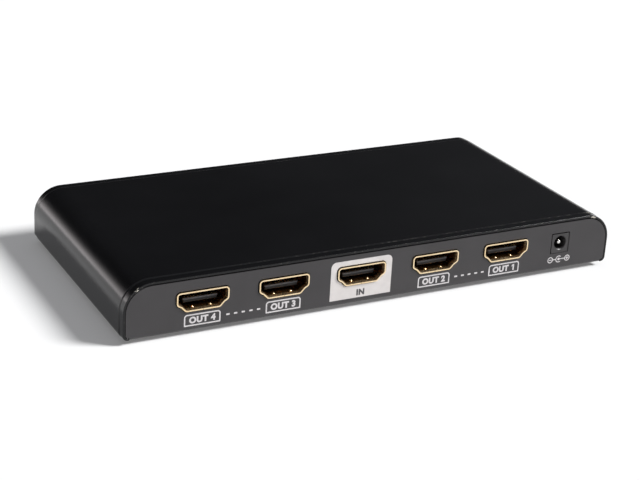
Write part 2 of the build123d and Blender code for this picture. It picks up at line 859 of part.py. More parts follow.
# Power jack spring leaf: it turns about its rolled end when a plug pushes its nose up
with BuildPart() as jack_spring_leaf:
    with BuildSketch(Plane.YZ.offset(jack_x)):
        with Locations((roll_y, roll_z)):
            Circle(leaf_roll)
        nose_y = front_y + leaf_nose_back
        nose_z = bore_z + leaf_nose_rise
        tip_y = front_y + leaf_tip_back
        tip_z = bore_z + leaf_tip_rise
        with BuildLine():
            Polyline(
                (roll_y, roll_z - leaf_gauge / 2),
                (nose_y, nose_z - leaf_gauge / 2),
                (tip_y, tip_z - leaf_gauge / 2),
                (tip_y, tip_z + leaf_gauge / 2),
                (nose_y, nose_z + leaf_gauge / 2),
                (roll_y, roll_z + leaf_gauge / 2),
                close=True,
            )
        make_face()
    extrude(amount=leaf_width / 2, both=True)
keep(jack_spring_leaf.part, "jack_spring_leaf")

# Indicator lamps: a lens with its flange, two leads each, and a holder on the board's rear edge
with BuildPart() as one_lens:
    with BuildSketch(Plane.YZ):
        with BuildLine():
            lens_tip_y = rear_y - lamp_recess
            dome_y = lens_tip_y - lamp_radius
            Polyline(
                (lens_tip_y, lamp_z),
                (lamp_end_y, lamp_z),
                (lamp_end_y, lamp_z + lamp_flange_radius),
                (lamp_end_y + lamp_flange, lamp_z + lamp_flange_radius),
                (lamp_end_y + lamp_flange, lamp_z + lamp_radius),
                (dome_y, lamp_z + lamp_radius),
            )
            RadiusArc((dome_y, lamp_z + lamp_radius), (lens_tip_y, lamp_z), lamp_radius)
        make_face()
    revolve(axis=Axis((0, 0, lamp_z), (0, 1, 0)))
with BuildPart() as lamp_lenses:
    with GridLocations(lamp_pitch, lamp_pitch, lamp_count, 1):
        add(one_lens.part)
keep(lamp_lenses.part, "lamp_lenses")

with BuildPart() as lamp_leads:
    with BuildSketch(Plane.YZ):
        lead_back_y = lamp_end_y - lamp_lead_back
        lead_low_z = board_bottom_z - lamp_lead_tail
        with BuildLine():
            Polyline(
                (lamp_end_y, lamp_z - lamp_lead / 2),
                (lamp_end_y, lamp_z + lamp_lead / 2),
                (lead_back_y, lamp_z + lamp_lead / 2),
                (lead_back_y, lead_low_z),
                (lead_back_y + lamp_lead, lead_low_z),
                (lead_back_y + lamp_lead, lamp_z - lamp_lead / 2),
                close=True,
            )
        make_face()
    one_lead = extrude(amount=lamp_lead / 2, both=True, mode=Mode.PRIVATE)
    with GridLocations(lamp_pitch, lamp_pitch, lamp_count, 1):
        with GridLocations(lamp_lead_pitch, lamp_lead_pitch, 2, 1):
            add(one_lead)
keep(lamp_leads.part, "lamp_leads")

with BuildPart() as lamp_holders:
    with BuildSketch(Plane.XY.offset(board_top_z)):
        with Locations((0, holder_y)):
            with GridLocations(lamp_pitch, lamp_pitch, lamp_count, 1):
                Rectangle(holder_width, holder_depth, align=(Align.CENTER, Align.MIN))
    extrude(amount=holder_height)
    with BuildSketch(Plane.XZ.offset(-holder_y)):
        with Locations((0, lamp_z)):
            with GridLocations(lamp_pitch, lamp_pitch, lamp_count, 1):
                Circle(lamp_radius + lamp_fit)
    extrude(amount=-holder_depth, mode=Mode.SUBTRACT)
    with BuildSketch(Plane.XZ.offset(-holder_y)):
        with Locations((0, lamp_z)):
            with GridLocations(lamp_pitch, lamp_pitch, lamp_count, 1):
                Circle(lamp_flange_radius + lamp_fit)
    extrude(amount=holder_y - lamp_end_y - lamp_flange - lamp_fit, mode=Mode.SUBTRACT)
keep(lamp_holders.part, "lamp_holders")


def chip_body(length, width, thick):
    """A moulded chip on z = 0, its corners eased and its first lead marked by a dimple."""
    with BuildPart() as body:
        with BuildSketch(Plane.XY.offset(chip_standoff)):
            Rectangle(length, width)
        extrude(amount=thick)
        chamfer(body.faces().sort_by(Axis.Z)[-1].edges(), length=chip_ease)
        with BuildSketch(Plane.XY.offset(chip_standoff + thick)):
            with Locations((chip_mark_inset - length / 2, chip_mark_inset - width / 2)):
                Circle(chip_mark_radius)
        extrude(amount=-chip_mark_depth, mode=Mode.SUBTRACT)
    return body.part


def gull_lead(thick, lead_width):
    """One lead from a chip's side at y = 0, out, down to the board at z = 0 and along it."""
    exit_z = chip_standoff + thick / 2
    with BuildPart() as lead:
        with BuildSketch(Plane.YZ):
            with BuildLine():
                Polyline(
                    (0, exit_z),
                    (0, exit_z + lead_gauge),
                    (lead_knee, exit_z + lead_gauge),
                    (lead_knee, lead_gauge),
                    (lead_knee + lead_foot, lead_gauge),
                    (lead_knee + lead_foot, 0),
                    (lead_knee - lead_gauge, 0),
                    (lead_knee - lead_gauge, exit_z),
                    close=True,
                )
            make_face()
        extrude(amount=lead_width / 2, both=True)
    return lead.part


def lead_rows(places, sides, pitch, per_side, lead):
    """Rows of leads around chips at the places; sides are (turn, distance from the centre) pairs."""
    with BuildPart() as rows:
        for place in places:
            for turn, distance in sides:
                with Locations(Location(place, (0, 0, turn))):
                    with GridLocations(pitch, pitch, per_side, 1):
                        with Locations((0, distance)):
                            add(lead)
    return rows.part


# Splitter chip, its leads, the thermal pad and the finned heat sink on it
splitter_place = board_place(splitter_place_shares)
with BuildPart() as splitter_chip:
    with Locations(splitter_place):
        add(chip_body(splitter_side, splitter_side, splitter_thick))
keep(splitter_chip.part, "splitter_chip")
keep(
    lead_rows(
        [splitter_place],
        [(turn, splitter_side / 2) for turn in (0, 90, 180, 270)],
        splitter_lead_pitch,
        splitter_leads_per_side,
        gull_lead(splitter_thick, splitter_lead_width),
    ),
    "splitter_chip_leads",
)

pad_z = board_top_z + chip_standoff + splitter_thick
with BuildPart() as thermal_pad:
    with BuildSketch(Plane.XY.offset(pad_z)):
        with Locations(splitter_place[:2]):
            Rectangle(splitter_side, splitter_side)
    extrude(amount=pad_thick)
keep(thermal_pad.part, "thermal_pad")

sink_z = pad_z + pad_thick
sink_height = cover_under_z - sink_top_gap - sink_z
with BuildPart() as heat_sink:
    with BuildSketch(Plane.XY.offset(sink_z)):
        with Locations(splitter_place[:2]):
            Rectangle(sink_side, sink_side)
    extrude(amount=sink_base)
    with BuildSketch(Plane.XY.offset(sink_z + sink_base)):
        with Locations(splitter_place[:2]):
            with GridLocations((sink_side - sink_fin) / (sink_fins - 1), sink_side, sink_fins, 1):
                Rectangle(sink_fin, sink_side)
    extrude(amount=sink_height - sink_base)
keep(heat_sink.part, "heat_sink")

# Microcontroller with leads on its two long sides
controller_place = board_place(controller_place_shares)
with BuildPart() as controller_chip:
    with Locations(controller_place):
        add(chip_body(controller_length, controller_width, controller_thick))
keep(controller_chip.part, "controller_chip")
keep(
    lead_rows(
        [controller_place],
        [(turn, controller_width / 2) for turn in (0, 180)],
        wide_lead_pitch,
        controller_leads_per_side,
        gull_lead(controller_thick, wide_lead_width),
    ),
    "controller_chip_leads",
)

# Memory chips, one behind each socket
memory_places = [(x, front_y + small_chip_setback, board_top_z) for x in socket_xs]
with BuildPart() as memory_chips:
    with Locations(*memory_places):
        add(chip_body(small_chip_length, small_chip_width, small_chip_thick))
keep(memory_chips.part, "memory_chips")
keep(
    lead_rows(
        memory_places,
        [(turn, small_chip_width / 2) for turn in (0, 180)],
        wide_lead_pitch,
        small_chip_leads_per_side,
        gull_lead(small_chip_thick, wide_lead_width),
    ),
    "memory_chip_leads",
)

# Surge arrays, a pair behind each socket
with BuildPart() as surge_arrays:
    with BuildSketch(Plane.XY.offset(board_top_z)):
        for x in socket_xs:
            with Locations((x, front_y + surge_setback)):
                with GridLocations(surge_pitch, surge_pitch, 2, 1):
                    Rectangle(surge_length, surge_width)
    extrude(amount=surge_thick)
    chamfer(surge_arrays.faces().filter_by(Axis.Z).group_by(Axis.Z)[-1].edges(), length=chip_ease / 2)
keep(surge_arrays.part, "surge_arrays")

# Voltage regulators: bodies, and their leads with the wide tab on the other side
regulator_x, regulator_y, regulator_z = board_place(regulator_place_shares)
regulator_places = [
    (regulator_x, regulator_y + side * regulator_spacing / 2, regulator_z) for side in (-1, 1)
]
with BuildPart() as regulators:
    with Locations(*regulator_places):
        add(chip_body(regulator_length, regulator_width, regulator_thick))
keep(regulators.part, "regulators")
with BuildPart() as regulator_leads_part:
    add(
        lead_rows(
            regulator_places,
            [(180, regulator_width / 2)],
            regulator_lead_pitch,
            regulator_leads,
            gull_lead(regulator_thick, regulator_lead_width),
        )
    )
    add(
        lead_rows(
            regulator_places,
            [(0, regulator_width / 2)],
            regulator_tab,
            1,
            gull_lead(regulator_thick, regulator_tab),
        )
    )
keep(regulator_leads_part.part, "regulator_leads")

# Inductor: a square ferrite block with its round core shown in a shallow ring
inductor_x, inductor_y, inductor_z = board_place(inductor_place_shares)
with BuildPart() as inductor:
    with BuildSketch(Plane.XY.offset(inductor_z)):
        with Locations((inductor_x, inductor_y)):
            RectangleRounded(inductor_side, inductor_side, inductor_corner)
    extrude(amount=inductor_height)
    with BuildSketch(Plane.XY.offset(inductor_z + inductor_height)):
        with Locations((inductor_x, inductor_y)):
            Circle(inductor_core_radius)
            Circle(inductor_core_radius - inductor_recess, mode=Mode.SUBTRACT)
    extrude(amount=-inductor_recess, mode=Mode.SUBTRACT)
keep(inductor.part, "inductor")

# Electrolytic capacitors: square bases with grooved cans on them
can_x, can_y, can_z = board_place(can_place_shares)
with BuildPart() as capacitor_bases:
    with BuildSketch(Plane.XY.offset(can_z)) as base_plan:
        with Locations((can_x, can_y)):
            with GridLocations(can_spacing, can_spacing, can_count, 1):
                Rectangle(can_base_side, can_base_side)
        chamfer(base_plan.vertices().group_by(Axis.Y)[0], length=can_base_corner)
    extrude(amount=can_base_thick)
keep(capacitor_bases.part, "capacitor_bases")

with BuildPart() as one_can:
    with BuildSketch(Plane.XZ) as can_half:
        with BuildLine():
            Polyline(
                (0, 0),
                (can_radius, 0),
                (can_radius, can_groove_rise),
                (can_radius - can_groove, can_groove_rise + can_groove),
                (can_radius, can_groove_rise + 2 * can_groove),
                (can_radius, can_height),
                (0, can_height),
                close=True,
            )
        make_face()
        fillet(can_half.vertices().group_by(Axis.Y)[-1].sort_by(Axis.X)[-1], radius=can_ease)
    revolve(axis=Axis.Z)
with BuildPart() as capacitor_cans:
    with Locations((can_x, can_y, can_z + can_base_thick)):
        with GridLocations(can_spacing, can_spacing, can_count, 1):
            add(one_can.part)
keep(capacitor_cans.part, "capacitor_cans")

# Crystal: an oval metal can on its rim
crystal_x, crystal_y, crystal_z = board_place(crystal_place_shares)
with BuildPart() as crystal:
    with BuildSketch(Plane.XY.offset(crystal_z)):
        with Locations((crystal_x, crystal_y)):
            SlotOverall(crystal_length + 2 * crystal_rim, crystal_width + 2 * crystal_rim)
    extrude(amount=crystal_rim_thick)
    with BuildSketch(Plane.XY.offset(crystal_z)):
        with Locations((crystal_x, crystal_y)):
            SlotOverall(crystal_length, crystal_width)
    extrude(amount=crystal_height)
    fillet(crystal.edges().group_by(Axis.Z)[-1], radius=crystal_rim)
keep(crystal.part, "crystal")

# Fuse and diode beside the jack
for part_name, shares, length, width, thick in (
    ("input_fuse", fuse_place_shares, fuse_length, fuse_width, fuse_thick),
    ("input_diode", diode_place_shares, diode_length, diode_width, diode_thick),
):
    part_x, part_y, part_z = board_place(shares)
    with BuildPart() as small_part:
        with BuildSketch(Plane.XY.offset(part_z)):
            with Locations((part_x, part_y)):
                Rectangle(length, width)
        extrude(amount=thick)
        chamfer(small_part.faces().sort_by(Axis.Z)[-1].edges(), length=chip_ease)
    keep(small_part.part, part_name)

# Chip resistors beside the microcontroller and chip capacitors beside the power parts
for part_name, shares in (
    ("chip_resistors", resistor_place_shares),
    ("chip_capacitors", capacitor_place_shares),
):
    group_x, group_y, group_z = board_place(shares)
    with BuildPart() as chip_parts:
        with BuildSketch(Plane.XY.offset(group_z)):
            with Locations((group_x, group_y)):
                with GridLocations(
                    chip_part_spacing_x, chip_part_spacing_y, chip_part_columns, chip_part_rows
                ):
                    Rectangle(chip_part_length, chip_part_width)
        extrude(amount=chip_part_thick)
        chamfer(chip_parts.faces().filter_by(Axis.Z).group_by(Axis.Z)[-1].edges(), length=chip_part_ease)
    keep(chip_parts.part, part_name)
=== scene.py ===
import json
import math

import bpy
from mathutils import Matrix, Vector


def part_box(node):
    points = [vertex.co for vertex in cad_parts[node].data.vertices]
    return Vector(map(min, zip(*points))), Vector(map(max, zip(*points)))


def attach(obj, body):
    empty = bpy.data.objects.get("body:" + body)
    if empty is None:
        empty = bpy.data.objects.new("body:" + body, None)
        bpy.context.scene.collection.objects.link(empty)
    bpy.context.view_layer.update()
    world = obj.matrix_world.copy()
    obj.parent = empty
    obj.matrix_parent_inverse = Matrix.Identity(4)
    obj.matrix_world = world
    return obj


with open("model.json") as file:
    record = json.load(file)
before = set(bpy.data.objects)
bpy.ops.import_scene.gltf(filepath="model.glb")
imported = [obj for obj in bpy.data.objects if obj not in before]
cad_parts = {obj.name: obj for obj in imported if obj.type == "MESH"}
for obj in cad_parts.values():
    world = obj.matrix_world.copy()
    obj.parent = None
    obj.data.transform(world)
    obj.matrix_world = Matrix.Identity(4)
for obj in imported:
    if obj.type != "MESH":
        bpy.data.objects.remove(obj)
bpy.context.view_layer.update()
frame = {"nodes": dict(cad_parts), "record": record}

# A video splitter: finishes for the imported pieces, printed marks for its panels, camera and light.
# Lengths are in metres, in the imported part's frame: MM is one millimetre.

MM = 0.001
nodes = frame["nodes"]

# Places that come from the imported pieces
SOCKETS = ("output_4", "output_3", "input", "output_2", "output_1")
COVER_LOW, COVER_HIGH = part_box("top_cover")
TRAY_LOW, TRAY_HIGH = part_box("base_tray")
PORT_PANEL_Y = TRAY_LOW.y
REAR_PANEL_Y = TRAY_HIGH.y
CASE_FLOOR_Z = TRAY_LOW.z
socket_x = {name: sum(corner.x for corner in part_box(f"{name}_shell")) / 2 for name in SOCKETS}
SOCKET_PITCH = socket_x["output_3"] - socket_x["output_4"]
MOUTH_Z = CASE_FLOOR_Z + 8.85 * MM
MOUTH_FLOOR_Z = MOUTH_Z - 2.275 * MM
TONGUE_TOP_Z = MOUTH_Z + 0.2 * MM
TONGUE_FRONT_Y = PORT_PANEL_Y + 1.8 * MM
# Height of the painted highlight strip on the tongue's upper front edge
PAINTED_HIGHLIGHT_HEIGHT = 0.5 * MM
JACK_LOW, JACK_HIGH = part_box("jack_housing")
JACK_X = (JACK_LOW.x + JACK_HIGH.x) / 2
LAMP_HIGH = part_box("lamp_lenses")[1]

# Camera, as solved from the photograph: what it looks at, from how far, and how it is turned
CAMERA_TARGET = Vector((-5.686, -9.203, 9.0)) * MM
CAMERA_DISTANCE = 462.9 * MM
CAMERA_AZIMUTH = math.radians(28.296)
CAMERA_ELEVATION = math.radians(22.540)
CAMERA_ROLL = math.radians(3.284)
CAMERA_LENS = 87.62
CAMERA_SENSOR = 36.0
CAMERA_NEAR = 10.0 * MM

# Light: a wide soft key from the right, and a dark studio. Its low horizon is bright in front and
# on the left, its right side glows faintly. Stops are heights and greys, a side is where it begins
# and where it is full along its axis.
KEY_FROM = Vector((0.66, -0.38, 0.64))
KEY_STRENGTH = 4.5
KEY_WIDTH = math.radians(18)
FRONT_HORIZON = 1.2
FRONT_SIDE = (-0.15, -0.60)
LEFT_HORIZON = 3.8
LEFT_SIDE = (-0.12, -0.45)
DIM_HORIZON = 0.12
HORIZON_STOPS = ((0.00, 1.0), (0.06, 0.8), (0.20, 0.12), (0.30, 0.0))
SKY_STOPS = ((0.00, 0.03), (0.45, 0.02), (0.75, 0.10), (1.00, 0.40))
RIGHT_GLOW = 0.095
RIGHT_SIDE = (0.34, 0.74)
RIGHT_STOPS = ((0.20, 0.0), (0.34, 1.0), (0.50, 0.8), (0.75, 0.0))
HORIZON_TINT = (1.04, 0.98, 0.99)
SKY_TINT = (0.96, 0.99, 1.05)
FLOOR_GREY = 0.93
FLOOR_SIZE = 6.0
FLOOR_WHITENING = 0.14

# Finishes: the usual spread of noise, and the narrower one that parts two tones
NOISE_SPREAD = (0.3, 0.7)
TONE_SPREAD = (0.35, 0.65)

# Printed marks: rises are above the case's underside
INK_THICK = 0.020 * MM
INK_SUNK = 0.010 * MM
REAR_INK_THICK = 0.008 * MM
INK_WEAKENING = 0.93
LABEL_RISE = 1.44 * MM
LABEL_WIDTH = 10.67 * MM
LABEL_HEIGHT = 3.5 * MM
LABEL_LINE = 0.38 * MM
LABEL_ROUND = 0.9 * MM
LABEL_LOW_ROUND = 0.12 * MM
LETTER_HEIGHT = 1.72 * MM
LETTER_SWELL = 0.13 * MM
LETTER_SPACING = 1.1
LETTER_SHARE = 0.70
LABEL_WORD_SHIFT = -1.08 * MM
LABEL_NUMBER_SHIFT = 3.2 * MM

# Figure one, in shares of the letters' height; its flag's thickness in half stems
ONE_STEM = 0.14
ONE_TALL = 0.975
ONE_REACH = 0.24
ONE_FLAG = 1.6

# Dashes, the input's patch, the polarity mark and the lamps' words
DASH_COUNT = 5
DASH_LENGTH = 1.0 * MM
DASH_HEIGHT = 0.5 * MM
DASH_ROUND = 0.125 * MM
DASH_PITCH = 2.29 * MM
PATCH_WIDTH = 19.48 * MM
PATCH_HEIGHT = 11.75 * MM
PATCH_RISE = 1.75 * MM
PATCH_ROUND = 1.6 * MM
PATCH_LOW_ROUND = 0.1 * MM
PATCH_WORD_RISE = 2.5 * MM
CUT_OUT_GROW = 0.89 * MM
POLARITY_RISE = 3.3 * MM
POLARITY_RING = 0.98 * MM
POLARITY_CUP = 1.12 * MM
POLARITY_DOT = 0.42 * MM
POLARITY_LINE = 0.27 * MM
POLARITY_SIGN = 1.0 * MM
POLARITY_REACH = 3.05 * MM
POLARITY_GAP = 0.03 * MM
POLARITY_OPENING = 50.0
LAMP_WORD_RISE = 5.2 * MM
LAMP_LETTER_HEIGHT = 1.3 * MM
LAMP_LETTER_SWELL = 0.05 * MM
LAMP_PITCH = 12.0 * MM
LAMP_WORDS = ("ON", "IN", "1", "2", "3", "4")
CORNER_STEPS = 6
CIRCLE_STEPS = 24

# Socket mouth: corners of its right half from the floor up, with the panel cut-out's corner radii
MOUTH_CORNERS = (
    (4.75 * MM, -2.275 * MM, 1.37 * MM),
    (5.91 * MM, -1.015 * MM, 0.33 * MM),
    (7.00 * MM, -0.395 * MM, 1.37 * MM),
    (7.00 * MM, 2.275 * MM, 1.37 * MM),
)


class Finish:
    """A material with a Principled shader, and short calls for the nodes that feed it."""

    def __init__(self, name, **constants):
        self.material = bpy.data.materials.new(name)
        self.material.use_nodes = True
        self.tree = self.material.node_tree
        self.shader = self.tree.nodes["Principled BSDF"]
        self.place = self.add("ShaderNodeTexCoord").outputs["Object"]
        for key, value in constants.items():
            socket = self.shader.inputs[key.replace("_", " ")]
            socket.default_value = value if isinstance(value, (int, float)) else (*value, 1.0)

    def add(self, kind, **settings):
        """A new node of that kind, with its settings."""
        node = self.tree.nodes.new(kind)
        for key, value in settings.items():
            setattr(node, key, value)
        return node

    def feed(self, socket, value):
        """Link an output to a socket, or set the socket to a plain value."""
        if isinstance(value, bpy.types.NodeSocket):
            self.tree.links.new(value, socket)
        elif isinstance(value, (int, float)):
            socket.default_value = value
        else:
            socket.default_value = (*value, 1.0) if len(value) < 4 else value
        return socket

    def math(self, operation, *values):
        """One sum: the values may be numbers or outputs."""
        node = self.add("ShaderNodeMath", operation=operation)
        for socket, value in zip(node.inputs, values):
            self.feed(socket, value)
        return node.outputs[0]

    def axis(self, letter):
        """The place along one axis of the part's frame, in metres."""
        node = self.add("ShaderNodeSeparateXYZ")
        self.feed(node.inputs[0], self.place)
        return node.outputs[letter]

    def stretched(self, stretch):
        """The place with its axes stretched, so that a pattern runs longer along some of them."""
        node = self.add("ShaderNodeVectorMath", operation="DIVIDE")
        self.feed(node.inputs[0], self.place)
        node.inputs[1].default_value = stretch
        return node.outputs[0]

    def noise(self, size, detail=2.0, stretch=(1, 1, 1)):
        """Cloudy noise from 0 to 1 with spots of about that size."""
        node = self.add("ShaderNodeTexNoise")
        node.inputs["Scale"].default_value = 1 / size
        node.inputs["Detail"].default_value = detail
        self.feed(node.inputs["Vector"], self.stretched(stretch))
        return node.outputs["Fac"]

    def cells(self, size):
        """Distance from scattered points about that far apart, in shares of the spacing."""
        node = self.add("ShaderNodeTexVoronoi")
        node.inputs["Scale"].default_value = 1 / size
        self.feed(node.inputs["Vector"], self.place)
        return node.outputs["Distance"]

    def span(self, value, low, high, to_low=0.0, to_high=1.0):
        """The value's stretch from low to high, spread from to_low to to_high and held there."""
        node = self.add("ShaderNodeMapRange")
        for socket, number in zip(node.inputs, (value, low, high, to_low, to_high)):
            self.feed(socket, number)
        return node.outputs[0]

    def spread(self, noise, low=0.0, high=1.0):
        """Noise stretched over its usual spread, from low to high."""
        return self.span(noise, *NOISE_SPREAD, low, high)

    def mix(self, share, first, second):
        """A colour between two colours."""
        node = self.add("ShaderNodeMix", data_type="RGBA")
        self.feed(node.inputs[0], share)
        self.feed(node.inputs[6], first)
        self.feed(node.inputs[7], second)
        return node.outputs[2]

    def colour(self, value):
        self.feed(self.shader.inputs["Base Color"], value)

    def roughness(self, value):
        self.feed(self.shader.inputs["Roughness"], value)

    def bump(self, height, depth, strength=1.0):
        """Small relief of that depth from a 0 to 1 height."""
        node = self.add("ShaderNodeBump")
        node.inputs["Strength"].default_value = strength
        node.inputs["Distance"].default_value = depth
        self.feed(node.inputs["Height"], height)
        self.feed(self.shader.inputs["Normal"], node.outputs[0])


def cloudy(name, dark, light, rough, grain, depth, cloud, stretch=(1, 1, 1), **constants):
    """A plain finish: two close colours in soft clouds, varied gloss and a fine grain."""
    finish = Finish(name, **constants)
    clouds = finish.noise(cloud, 3.0, stretch)
    fine = finish.noise(grain, 2.0, stretch)
    finish.colour(finish.mix(finish.span(clouds, *TONE_SPREAD), dark, light))
    finish.roughness(finish.spread(finish.noise(cloud / 3, 3.0, stretch), *rough))
    finish.bump(fine, depth)
    return finish


def cover_paint():
    """Satin black paint with faint orange peel. Specks on the steps and nicks on the edges are worn
    paint that also paints their highlights; bright bare patches where the bends start are painted
    glints.
    """
    step_inset = 2.6 * MM
    step_half = 0.22 * MM
    matt_half = 0.70 * MM
    edge_half = 0.30 * MM
    # Painted glints: bright bare patches around the start of each bend, this far from the middle and
    # this wide
    glint_middle = -1.2 * MM
    glint_reach = 73.2 * MM
    glint_half = 2.2 * MM
    dots_from = -60.0 * MM
    dots_to = 10.0 * MM
    grain = 0.55 * MM
    step_glint_gain = 0.16
    step_spread = (0.53, 0.66)
    edge_glint_gains = (0.12, 0.20)
    edge_spread = (0.66, 0.72)
    cloud = 30 * MM
    black = ((0.0042, 0.0042, 0.0048), (0.0062, 0.0062, 0.0070))
    # Bare steel greys: the darker for worn specks, the brighter for the painted glints at the bends
    bare_steel_and_glint = ((0.085, 0.080, 0.074), (0.42, 0.40, 0.35))
    gloss_cloud = 18 * MM
    satin_rough = (0.17, 0.20)
    step_rough = 0.22
    peel = 0.6 * MM
    peel_depth = 0.0006 * MM

    finish = Finish("cover_paint", Specular_IOR_Level=0.30)
    middle = (COVER_LOW.y + COVER_HIGH.y) / 2
    half = (COVER_HIGH.y - COVER_LOW.y) / 2
    across = finish.math("ABSOLUTE", finish.math("SUBTRACT", finish.axis("Y"), middle))
    from_step = finish.math("ABSOLUTE", finish.math("SUBTRACT", across, half - step_inset))
    on_step = finish.span(from_step, 0.0, step_half, 1.0, 0.0)
    on_edge = finish.span(across, half - edge_half, half - edge_half / 2)
    along = finish.math("ABSOLUTE", finish.math("SUBTRACT", finish.axis("X"), glint_middle))
    from_bend = finish.math("ABSOLUTE", finish.math("SUBTRACT", along, glint_reach))
    # Painted glints where the bends start, which also thicken the specks and nicks there
    painted_highlight = finish.span(from_bend, 0.0, glint_half, 1.0, 0.0)
    to_jack = finish.span(finish.axis("X"), dots_from, dots_to)
    grains = finish.noise(grain, 2.0, (1.6, 1, 1))
    step_grains = finish.math("MULTIPLY_ADD", painted_highlight, step_glint_gain, grains)
    edge_glint_gain = finish.span(to_jack, 0.0, 1.0, *edge_glint_gains)
    edge_grains = finish.math("MULTIPLY_ADD", painted_highlight, edge_glint_gain, grains)
    # Specks on the steps, fading out towards the left, and nicks on the edges: worn paint that also
    # paints the steps' and edges' highlights
    step_wear_and_highlight = finish.math("MULTIPLY", on_step, to_jack)
    step_wear_and_highlight = finish.math("MULTIPLY", step_wear_and_highlight, finish.span(step_grains, *step_spread))
    edge_wear_and_highlight = finish.math("MULTIPLY", on_edge, finish.span(edge_grains, *edge_spread))
    paint = finish.mix(finish.spread(finish.noise(cloud, 3.0)), *black)
    bare = finish.mix(painted_highlight, *bare_steel_and_glint)
    finish.colour(finish.mix(finish.math("MAXIMUM", step_wear_and_highlight, edge_wear_and_highlight), paint, bare))
    satin = finish.spread(finish.noise(gloss_cloud, 2.0), *satin_rough)
    matt = finish.span(from_step, 0.0, matt_half, step_rough, 0.0)
    finish.roughness(finish.math("ADD", satin, matt))
    finish.bump(finish.noise(peel, 1.0), peel_depth)
    return finish


def tray_paint():
    """Satin charcoal paint with a finer, duller grain than the cover's."""
    return cloudy(
        "tray_paint",
        (0.0258, 0.0240, 0.0256),
        (0.0314, 0.0293, 0.0311),
        (0.38, 0.46),
        grain=0.22 * MM,
        depth=0.004 * MM,
        cloud=14 * MM,
    )


def gold_shell():
    """Gold plate: bright outside, on the lips and on the crests, with painted shade that darkens it
    to a brown inside the mouths.
    """
    unshaded_to = 0.3 * MM
    shade_from = 1.1 * MM
    crest_x = 2.6 * MM
    crest_half = 0.4 * MM
    crest_low = 0.12 * MM
    crest_high = 0.40 * MM
    half_sheet = 0.15 * MM
    line = 0.16 * MM
    line_depth = 0.0004 * MM
    patch = 2.2 * MM
    bright = ((0.89, 0.68, 0.41), (0.94, 0.76, 0.50))
    # Gold as the painted shade darkens it inside the mouths
    shaded_gold = ((0.42, 0.200, 0.065), (0.60, 0.300, 0.100))

    finish = Finish("gold_shell", Metallic=1.0)
    lines = finish.noise(line, 2.0, (1, 9, 1))
    patches = finish.spread(finish.noise(patch, 2.0))
    inward = finish.span(finish.axis("Y"), PORT_PANEL_Y + unshaded_to, PORT_PANEL_Y + shade_from)

    # Sideways and upwards from the middle of the nearest socket's mouth
    from_first = finish.math("SUBTRACT", finish.axis("X"), socket_x["output_4"])
    folded = finish.math("MODULO", finish.math("ADD", from_first, SOCKET_PITCH / 2), SOCKET_PITCH)
    sideways = finish.math("ABSOLUTE", finish.math("SUBTRACT", folded, SOCKET_PITCH / 2))
    upwards = finish.math("SUBTRACT", finish.axis("Z"), MOUTH_Z)

    from_crest = finish.math("ABSOLUTE", finish.math("SUBTRACT", sideways, crest_x))
    beside = finish.math("LESS_THAN", from_crest, crest_half)
    rise = finish.math("SUBTRACT", finish.axis("Z"), MOUTH_FLOOR_Z)
    above = finish.math("GREATER_THAN", rise, crest_low)
    below = finish.math("LESS_THAN", rise, crest_high)
    crest = finish.math("MULTIPLY", beside, finish.math("MULTIPLY", above, below))

    def past(first, second):
        """How far a place lies outside the line from one corner of the mouth to the next."""
        along = Vector(second) - Vector(first)
        outward = Vector((along.y, -along.x)).normalized()
        flat = finish.math("MULTIPLY_ADD", sideways, outward.x, -outward.dot(Vector(first)))
        return finish.math("MULTIPLY_ADD", upwards, outward.y, flat)

    floor_end, shoulder, side_low, side_high = [(x, y) for x, y, radius in MOUTH_CORNERS]
    slants = finish.math("MINIMUM", past(floor_end, shoulder), past(shoulder, side_low))
    upright = finish.math("MAXIMUM", past(side_low, side_high), slants)
    past_floor = past((0, floor_end[1]), floor_end)
    past_roof = past(side_high, (0, side_high[1]))
    outside = finish.math("MAXIMUM", finish.math("MAXIMUM", past_floor, past_roof), upright)
    inside = finish.math("LESS_THAN", outside, half_sheet)
    # Painted shade: inside each mouth, deeper than its lip, except on the spring crests
    painted_shade = finish.math("MULTIPLY", inward, inside)
    painted_shade = finish.math("MULTIPLY", painted_shade, finish.math("SUBTRACT", 1.0, crest))
    finish.colour(finish.mix(painted_shade, finish.mix(patches, *bright), finish.mix(patches, *shaded_gold)))
    finish.roughness(finish.spread(lines, 0.24, 0.34))
    finish.bump(lines, line_depth)
    return finish


def contact_gold():
    """Gold on the contacts, a little uneven."""
    return cloudy(
        "contact_gold",
        (0.72, 0.48, 0.20),
        (0.85, 0.60, 0.28),
        (0.18, 0.30),
        grain=0.1 * MM,
        depth=0.001 * MM,
        cloud=1 * MM,
        Metallic=1.0,
    )


